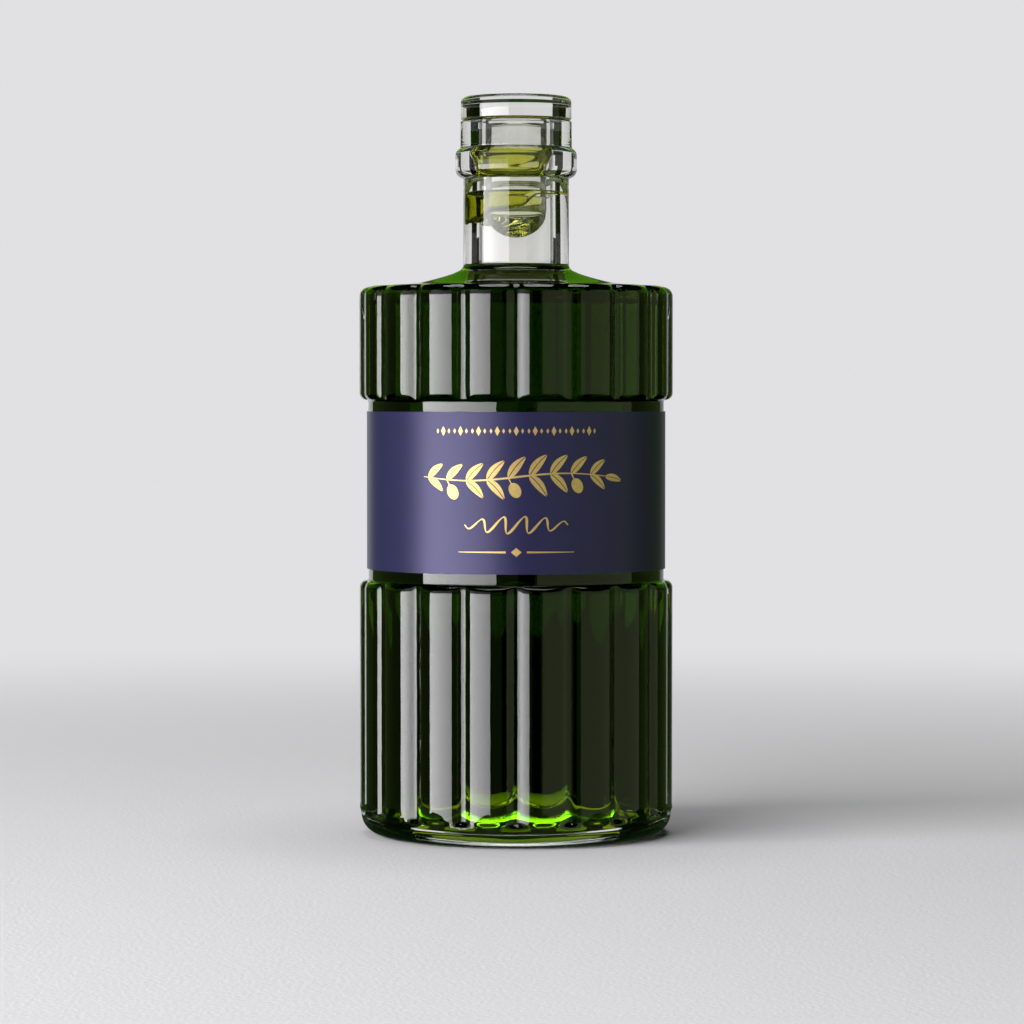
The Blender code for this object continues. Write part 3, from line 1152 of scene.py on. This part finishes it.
@dataclass
class FoilPrint:
    """The print: an olive sprig between a row of lozenges, a wavy flourish and a short closing rule."""

    wrapping: WrappingTree
    finish: bpy.types.Material
    label: PaperLabel
    film: float = 0.00003
    lift: float = 0.00002
    thinnest: float = 0.04  # widths and lengths from here on are in millimetres
    sprig_height: float = 91.6
    sprig_reach: float = 24.5
    sprig_bow: float = 0.9
    stem_width: tuple[float, float] = (0.5, 0.18)
    leaf_pairs: int = 9
    leaf_length: float = 7.4
    leaf_swell: float = 1.15
    midrib_gap: float = 0.12
    olive_pairs: tuple[int, ...] = (1, 4, 7)
    olive: tuple[float, float] = (3.9, 2.9)
    stalk_length: float = 1.5
    row_height: float = 102.9
    row_pitch: float = 1.56
    rule_height: float = 73.1
    rule_length: float = 12.0
    flourish_height: float = 79.8
    flourish_wave: float = 5.2
    flourish_rise: float = 2.1

    def plate(self, name: str, edges: list[tuple[tuple[float, float], tuple[float, float]]]) -> bpy.types.Mesh:
        """A thin flat plate.

        Args:
            name: The motif's name.
            edges: For each step along it, the points on its two edges, in millimetres.

        Returns:
            The closed plate.
        """
        sections = []
        for (x1, y1), (x2, y2) in edges:
            flat = ((x1, y1, 0.0), (x2, y2, 0.0), (x2, y2, 1.0), (x1, y1, 1.0))
            sections.append([(x / 1000, y / 1000, z * self.film) for x, y, z in flat])
        return loft(name, sections)

    def stroke(self, name: str, spine: list[tuple[float, float]], widths: list[float]) -> bpy.types.Mesh:
        """A stroke of changing width.

        Args:
            name: The motif's name.
            spine: The points along its middle, in millimetres.
            widths: Its width at each of them.

        Returns:
            The closed stroke.
        """
        edges = []
        for i, (x, y) in enumerate(spine):
            before, after = spine[max(0, i - 1)], spine[min(len(spine) - 1, i + 1)]
            along = Vector((after[0] - before[0], after[1] - before[1])).normalized()
            side = Vector((-along.y, along.x)) * widths[i] / 2
            edges.append(((x + side.x, y + side.y), (x - side.x, y - side.y)))
        return self.plate(name, edges)

    def half_leaf(self, name: str, side: int) -> bpy.types.Mesh:
        """Half a slender leaf.

        Args:
            name: The motif's name.
            side: 1 or -1, for the side of the midrib.

        Returns:
            The half leaf, with its foot at the origin.
        """
        edges = []
        steps = 14
        for i in range(steps + 1):
            share = i / steps
            x = self.leaf_length * share
            bow = 0.35 * sin(pi * share)
            swell = self.leaf_swell * sin(pi * share ** 0.8) ** 0.75
            outer = self.midrib_gap + 0.04 + swell
            edges.append(((x, bow + side * self.midrib_gap), (x, bow + side * outer)))
        return self.plate(name, edges)

    def oval(self, name: str, length: float, width: float, start: float) -> bpy.types.Mesh:
        """A flat oval along X, such as an olive.

        Args:
            name: The motif's name.
            length: Its length.
            width: Its width.
            start: Where it begins.

        Returns:
            The oval.
        """
        shares = [i / 12 for i in range(13)]
        spine = [(start + length * (1 - cos(pi * share)) / 2, 0.0) for share in shares]
        return self.stroke(name, spine, [max(self.thinnest, width * sin(pi * share)) for share in shares])

    def lozenge(self, name: str, width: float, height: float) -> bpy.types.Mesh:
        """A lozenge about the origin.

        Args:
            name: The motif's name.
            width: Its width.
            height: Its height.

        Returns:
            The lozenge.
        """
        half = width / 2
        spine = [(half * share, 0.0) for share in (-1.0, -0.5, 0.0, 0.5, 1.0)]
        return self.stroke(name, spine, [max(self.thinnest, height * (1 - abs(x) / half)) for x, _ in spine])

    def sprig(self) -> list[tuple[bpy.types.Mesh, list[Place]]]:
        """The sprig: its stem, the leaves in pairs along it and the olives that hang from it.

        Returns:
            Each motif with its places.
        """
        height, reach, bow = self.sprig_height / 1000, self.sprig_reach, self.sprig_bow
        shares = [i / 30 - 1 for i in range(61)]
        middle, tip = self.stem_width
        spine = [(reach * share, bow * sin(pi * share)) for share in shares]
        stem = self.stroke("foil_stem", spine, [middle - (middle - tip) * abs(share) for share in shares])
        leaves, olives = [], []
        for i in range(self.leaf_pairs):
            share = -0.94 + 1.72 * i / (self.leaf_pairs - 1)
            foot = (reach * share / 1000, height + bow * sin(pi * share) / 1000)
            size = 0.92 - 0.22 * abs(share)
            for side in (1, -1):
                place = Place(*foot, side * radians(52 - 14 * abs(share)), size)
                if side == 1 or i not in self.olive_pairs:
                    leaves.append(place)
                else:
                    olives.append(place._replace(turn=radians(-62), size=1.0))
        leaves.append(Place(reach * 0.96 / 1000, height, radians(-12), 0.7))
        stalk = [(self.stalk_length * i / 8, 0.0) for i in range(9)]
        return [(stem, [Place(0.0, height)]),
                (self.half_leaf("foil_leaf_upper", 1), leaves),
                (self.half_leaf("foil_leaf_lower", -1), leaves),
                (self.oval("foil_olive", *self.olive, self.stalk_length), olives),
                (self.stroke("foil_stalk", stalk, [0.3] * 9), olives)]

    def rows(self) -> list[tuple[bpy.types.Mesh, list[Place]]]:
        """The row of lozenges over the sprig, and the rule with its lozenge that closes the print.

        Returns:
            Each motif with its places.
        """
        low = self.rule_height / 1000
        row = [Place(self.row_pitch * i / 1000, self.row_height / 1000, size=1.0 if i % 3 == 0 else 0.55)
               for i in range(-13, 14)]
        rule = [Place(side * 0.0026, low, turn) for side, turn in ((1, 0.0), (-1, pi))]
        shares = [i / 20 for i in range(21)]
        dash = self.stroke("foil_rule", [(self.rule_length * share, 0.0) for share in shares],
                           [0.5 - 0.36 * share for share in shares])
        return [(self.lozenge("foil_lozenge", 1.25, 2.4), row), (dash, rule),
                (self.lozenge("foil_centre", 2.6, 2.2), [Place(0.0, low)])]

    def flourish(self) -> list[tuple[bpy.types.Mesh, list[Place]]]:
        """The wavy flourish under the sprig, drawn as with a broad nib.

        Returns:
            The motif with its place.
        """
        spine, widths = [], []
        reach, lean = 13.0, 0.42
        for i in range(105):
            x = 0.25 * i - reach
            fade = cos(pi / 2 * x / 13.2) ** 0.5
            phase = 2 * pi * x / self.flourish_wave
            rise = self.flourish_rise * fade * sin(phase)
            spine.append((x + lean * rise, rise))
            widths.append(0.22 + 0.42 * abs(cos(phase + 0.5)) * fade)
        return [(self.stroke("foil_flourish", spine, widths), [Place(0.0, self.flourish_height / 1000)])]

    def build(self) -> bpy.types.Object:
        """Wraps every motif and joins them.

        Returns:
            The print, a little in front of the label.
        """
        radius = self.label.radius + self.lift
        bm = bmesh.new()
        for motif, places in (*self.rows(), *self.sprig(), *self.flourish()):
            wrapped = self.wrapping.wrap(motif, places, radius, self.finish)
            bm.from_mesh(wrapped)
            bpy.data.meshes.remove(wrapped)
        bmesh.ops.recalc_face_normals(bm, faces=bm.faces)
        mesh = bpy.data.meshes.new("gold_foil_print")
        bm.to_mesh(mesh)
        bm.free()
        mesh.materials.append(self.finish)
        piece = link_object(mesh.name, mesh)
        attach(piece, "root")
        return piece


# The studio


class RayKind(Enum):
    """What can see a studio card."""

    CAMERA = "visible_camera"
    MATT = "visible_diffuse"
    MIRROR = "visible_glossy"
    THROUGH = "visible_transmission"
    SHADOW = "visible_shadow"


@dataclass(frozen=True)
class Card:
    """An upright card that stands round the bottle, curved about its axis.

    Bearings are in degrees from the camera's side towards the left.
    """

    name: str
    start: float
    stop: float
    distance: float
    bottom: float
    top: float
    seen_by: tuple[RayKind, ...]
    colour: str = "FFFFFF"
    glow: tuple[float, float] = (0.0, 0.0)
    sampled: bool = False

    def material(self) -> bpy.types.Material:
        """Makes a light whose strength runs from one end of the card to the other.

        Returns:
            The material.
        """
        material = blank_material(self.name + "_light")
        tree = material.node_tree
        along = add_node(tree, "ShaderNodeAttribute", attribute_name="along").outputs["Fac"]
        strength = add_node(tree, "ShaderNodeMapRange",
                            {"Value": along, "To Min": self.glow[0], "To Max": self.glow[1]})
        light = add_node(tree, "ShaderNodeEmission",
                         {"Color": srgb(self.colour), "Strength": strength.outputs[0]})
        add_node(tree, "ShaderNodeOutputMaterial", {"Surface": light.outputs[0]})
        material.cycles.emission_sampling = "AUTO" if self.sampled else "NONE"
        return material

    def build(self) -> bpy.types.Object:
        """Makes the card.

        Returns:
            The card.
        """
        steps = max(4, int(abs(self.stop - self.start) / 4))
        points, shares, faces = [], [], []
        for i in range(steps + 1):
            share = i / steps
            bearing = radians(self.start + (self.stop - self.start) * share)
            for height in (self.bottom, self.top):
                points.append((-self.distance * sin(bearing), -self.distance * cos(bearing), height))
                shares.append(share)
            if i:
                faces.append((2 * i - 2, 2 * i, 2 * i + 1, 2 * i - 1))
        mesh = bpy.data.meshes.new(self.name)
        mesh.from_pydata(points, [], faces)
        mesh.attributes.new("along", "FLOAT", "POINT").data.foreach_set("value", shares)
        mesh.materials.append(self.material())
        card = link_object(self.name, mesh)
        for kind in RayKind:
            setattr(card, kind.value, kind in self.seen_by)
        return card


@dataclass
class Studio:
    """The floor, the light cards, the dark flags and the camera."""

    focal_px: float = 3800.0
    frame_px: float = 1024.0
    eye_height: float = 0.1117
    distance: float = 0.971
    aside: float = -0.00105
    tilt: float = 1.76
    floor_radius: float = 2.2
    backdrop: str = "E6E5E8"
    backdrop_glow: float = 0.95
    base_flag: str = "1E321E"
    base_glow: float = 45.0
    top_light_size: float = 0.9
    top_light_power: float = 7.0
    top_light_place: tuple[float, float, float] = (0.0, 0.1, 1.3)

    def cards(self) -> list[Card]:
        """Every card: its name, both bearings, distance, bottom and top, and what can see it.

        Returns:
            The cards.
        """
        matt, mirror, through = (RayKind.MATT,), (RayKind.MIRROR,), (RayKind.THROUGH,)
        around, left, soft = (0.0, 360.0, 2.1), (15.0, 75.5, 1.2), (4.8, 10.8)
        lights = [
            Card("left_softbox", *left, -0.3, 0.195, matt + mirror, glow=soft, sampled=True),
            Card("left_softbox_top", *left, 0.195, 0.95, matt, glow=soft, sampled=True),
            Card("softbox_middle", *left, 0.195, 0.25, mirror, glow=(1.5, 3.0)),
            Card("softbox_fade", *left, 0.25, 0.95, mirror, glow=(0.5, 1.0)),
            Card("right_panel", -15.8, -99.8, 1.2, -0.3, 0.8, mirror, colour="DEF3B4", glow=(0.5, 0.5)),
            Card("rim_card", 148.8, 210.0, 1.4, -0.3, 0.3, mirror, glow=(1.0, 0.25)),
            Card("line_flag", -1.0, -9.5, 0.06, -0.02, 0.2, mirror),
            Card("room_glimmer", *around, -0.4, 0.5, mirror, colour="CBFF86", glow=(0.1, 0.1)),
            Card("green_card", *around, 0.5, 1.3, mirror, colour="95FF38", glow=(0.3, 0.3)),
            Card("olive_card", *around, 0.78, 2.0, through, colour="A8C060", glow=(0.22, 0.22)),
            Card("lime_card_left", 158.0, 171.0, 1.4, 0.45, 1.0, mirror, colour="C8FF4A", glow=(0.9, 0.9)),
            Card("lime_card_right", 190.0, 197.0, 1.4, 0.45, 1.0, mirror, colour="C8FF4A", glow=(0.9, 0.9))]
        wall = {"colour": self.backdrop, "glow": (self.backdrop_glow, self.backdrop_glow)}
        lights += [Card("pale_wall", 0.0, 360.0, 2.2, -0.01, 1.8, (RayKind.CAMERA,), **wall),
                   Card("pale_wall_through_glass", 0.0, 360.0, 2.2, -0.01, 1.8, through, **wall)]
        flags = []
        for name, start, bottom, top in (("dark_flag", 30.0, -0.3, 0.2655), ("high_flag", 40.0, 0.2655, 0.7)):
            for side, turn in ((1, 0), (-1, 0), (1, 85), (-1, 85)):
                flags.append(Card(f"{name}_{side}_{turn}", side * (turn + start), side * (turn + 65.0), 1.1,
                                  bottom, top, through, sampled=True))
        for side in (1, -1):
            flags.append(Card(f"low_flag_{side}", side * 65.0, side * 115.0, 1.1, -0.3, 0.19, through,
                              sampled=True))
        return lights + flags

    def top_light(self) -> None:
        """A soft light above the bottle, for the floor and the tops of the glass."""
        data = bpy.data.lights.new("top_light", "AREA")
        data.shape = "DISK"
        data.size = self.top_light_size
        data.energy = self.top_light_power
        light = bpy.data.objects.new("top_light", data)
        light.location = self.top_light_place
        bpy.context.scene.collection.objects.link(light)

    def floor(self) -> None:
        """A plain pale floor that runs softly into the wall, and that the glass doesn't mirror."""
        material = blank_material("pale_seamless_paper")
        tree = material.node_tree
        place = add_node(tree, "ShaderNodeTexCoord").outputs["Object"]
        tooth = add_node(tree, "ShaderNodeTexNoise", {"Vector": place, "Scale": 900.0, "Detail": 3.0})
        bump = add_node(tree, "ShaderNodeBump", {"Height": tooth.outputs["Fac"], "Distance": 0.0001})
        paper = add_node(tree, "ShaderNodeBsdfPrincipled", {"Base Color": srgb("DCDBDE"), "Roughness": 0.9,
                                                            "Normal": bump.outputs[0]})
        haze = add_node(tree, "ShaderNodeEmission",
                        {"Color": srgb(self.backdrop), "Strength": self.backdrop_glow})
        away = add_node(tree, "ShaderNodeVectorMath", {0: place}, operation="LENGTH").outputs["Value"]
        far = add_node(tree, "ShaderNodeMapRange", {"Value": away, "From Min": 0.08, "From Max": 0.75},
                       interpolation_type="SMOOTHSTEP")
        mixed = add_node(tree, "ShaderNodeMixShader",
                         {0: far.outputs[0], 1: paper.outputs[0], 2: haze.outputs[0]})
        add_node(tree, "ShaderNodeOutputMaterial", {"Surface": mixed.outputs[0]})
        material.cycles.emission_sampling = "NONE"
        floor = link_object("studio_floor", self.ring(0.0, self.floor_radius, -0.0003))
        floor.data.materials.append(material)
        floor.visible_glossy = False

    def ring(self, inner: float, outer: float, height: float) -> bpy.types.Mesh:
        """A flat ring about the bottle's axis.

        Args:
            inner: Its inner radius.
            outer: Its outer radius.
            height: Its height.

        Returns:
            The ring's mesh.
        """
        steps = 96
        turns = [pi * (2 * i / steps - 1) for i in range(steps + 1)]
        points = []
        for radius in (inner, outer):
            points += [(radius * cos(turn), radius * sin(turn), height) for turn in turns]
        faces = [(i, i + steps + 1, i + steps + 2, i + 1) for i in range(steps)]
        mesh = bpy.data.meshes.new("studio_ring")
        mesh.from_pydata(points, [], faces)
        return mesh

    def floor_card(self, name: str, mesh: bpy.types.Mesh, colour: str, glow: float, seen_by: RayKind) -> None:
        """A card that lies on the floor and that only the glass shows.

        Args:
            name: The card's name.
            mesh: Its shape.
            colour: Its colour.
            glow: Its strength.
            seen_by: Whether the glass shows it by looking through or as a mirror.
        """
        material = blank_material(name + "_light")
        tree = material.node_tree
        light = add_node(tree, "ShaderNodeEmission", {"Color": srgb(colour), "Strength": glow})
        add_node(tree, "ShaderNodeOutputMaterial", {"Surface": light.outputs[0]})
        material.cycles.emission_sampling = "NONE"
        mesh.materials.append(material)
        card = link_object(name, mesh)
        for kind in RayKind:
            setattr(card, kind.value, kind is seen_by)

    def base_cards(self) -> None:
        """The cards that make the heel dark and light the dome from below."""
        self.floor_card("base_flag", self.ring(0.0, 0.9, -0.0002), self.base_flag, 1.0, RayKind.THROUGH)
        self.floor_card("heel_flag", self.ring(0.0, 0.084, -0.0002), self.base_flag, 1.0, RayKind.MIRROR)
        self.floor_card("base_light", self.ring(0.0, 0.011, -0.0001), "8FE02A", self.base_glow, RayKind.THROUGH)

    def camera(self) -> None:
        """The camera, at the photograph's viewing angle."""
        data = bpy.data.cameras.new("camera")
        data.sensor_width = 36.0
        data.lens = 36.0 * self.focal_px / self.frame_px
        data.clip_start, data.clip_end = 0.01, 20.0
        camera = bpy.data.objects.new("camera", data)
        camera.location = (self.aside, -self.distance, self.eye_height)
        camera.rotation_euler = (radians(90 - self.tilt), 0.0, 0.0)
        bpy.context.scene.collection.objects.link(camera)
        bpy.context.scene.camera = camera

    def build(self) -> None:
        """Sets up the whole studio, with the dark world and the number of bounces that thick glass needs."""
        scene = bpy.context.scene
        for card in self.cards():
            card.build()
        self.top_light()
        self.floor()
        self.base_cards()
        self.camera()
        world = bpy.data.worlds.new("dark_room")
        world.use_nodes = True
        world.node_tree.nodes["Background"].inputs["Color"].default_value = (0.0, 0.0, 0.0, 1.0)
        scene.world = world
        scene.view_settings.view_transform = "Standard"
        scene.cycles.max_bounces = 32
        scene.cycles.transmission_bounces = 32
        scene.cycles.glossy_bounces = 8


def main() -> None:
    logging.basicConfig(level=logging.INFO, format="%(name)s: %(message)s")
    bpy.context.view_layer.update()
    glass = ClearGlass("flint_glass_fire_polished").build()
    oil = OliveOil("early_harvest_olive_oil").build()
    paper = SatinPaper("indigo_satin_paper").build()
    foil = GoldFoil("hot_stamped_gold_foil").build()
    thin_oil = OliveOil("olive_oil_in_thin_films", absorbs=(235.0, 225.0, 1150.0)).build()
    turning = TurningTree()
    films = (ClingingOil("oil_film_above_plug_end", 0.1638, PLUG_FILM_EDGE, 0.0013),
             ClingingOil("oil_film_in_bead", 0.1745, BEAD_FILM_EDGE, 0.0009))
    stopper = GlassStopper(turning, glass)
    label = PaperLabel(paper)
    bottle = GlassBottle(turning, glass, films=films)
    pieces = [bottle.build(), OilFilling(turning, oil).build(), stopper.build()]
    pieces += [film.build(thin_oil) for film in films]
    pieces += StopperOil(turning, thin_oil, stopper).build()
    pieces += [label.build(), FoilPrint(WrappingTree(), foil, label).build()]
    for piece in pieces:
        log.info("%s: %d faces", piece.name, len(piece.data.polygons))
    Studio().build()


if __name__ == "__main__":
    main()
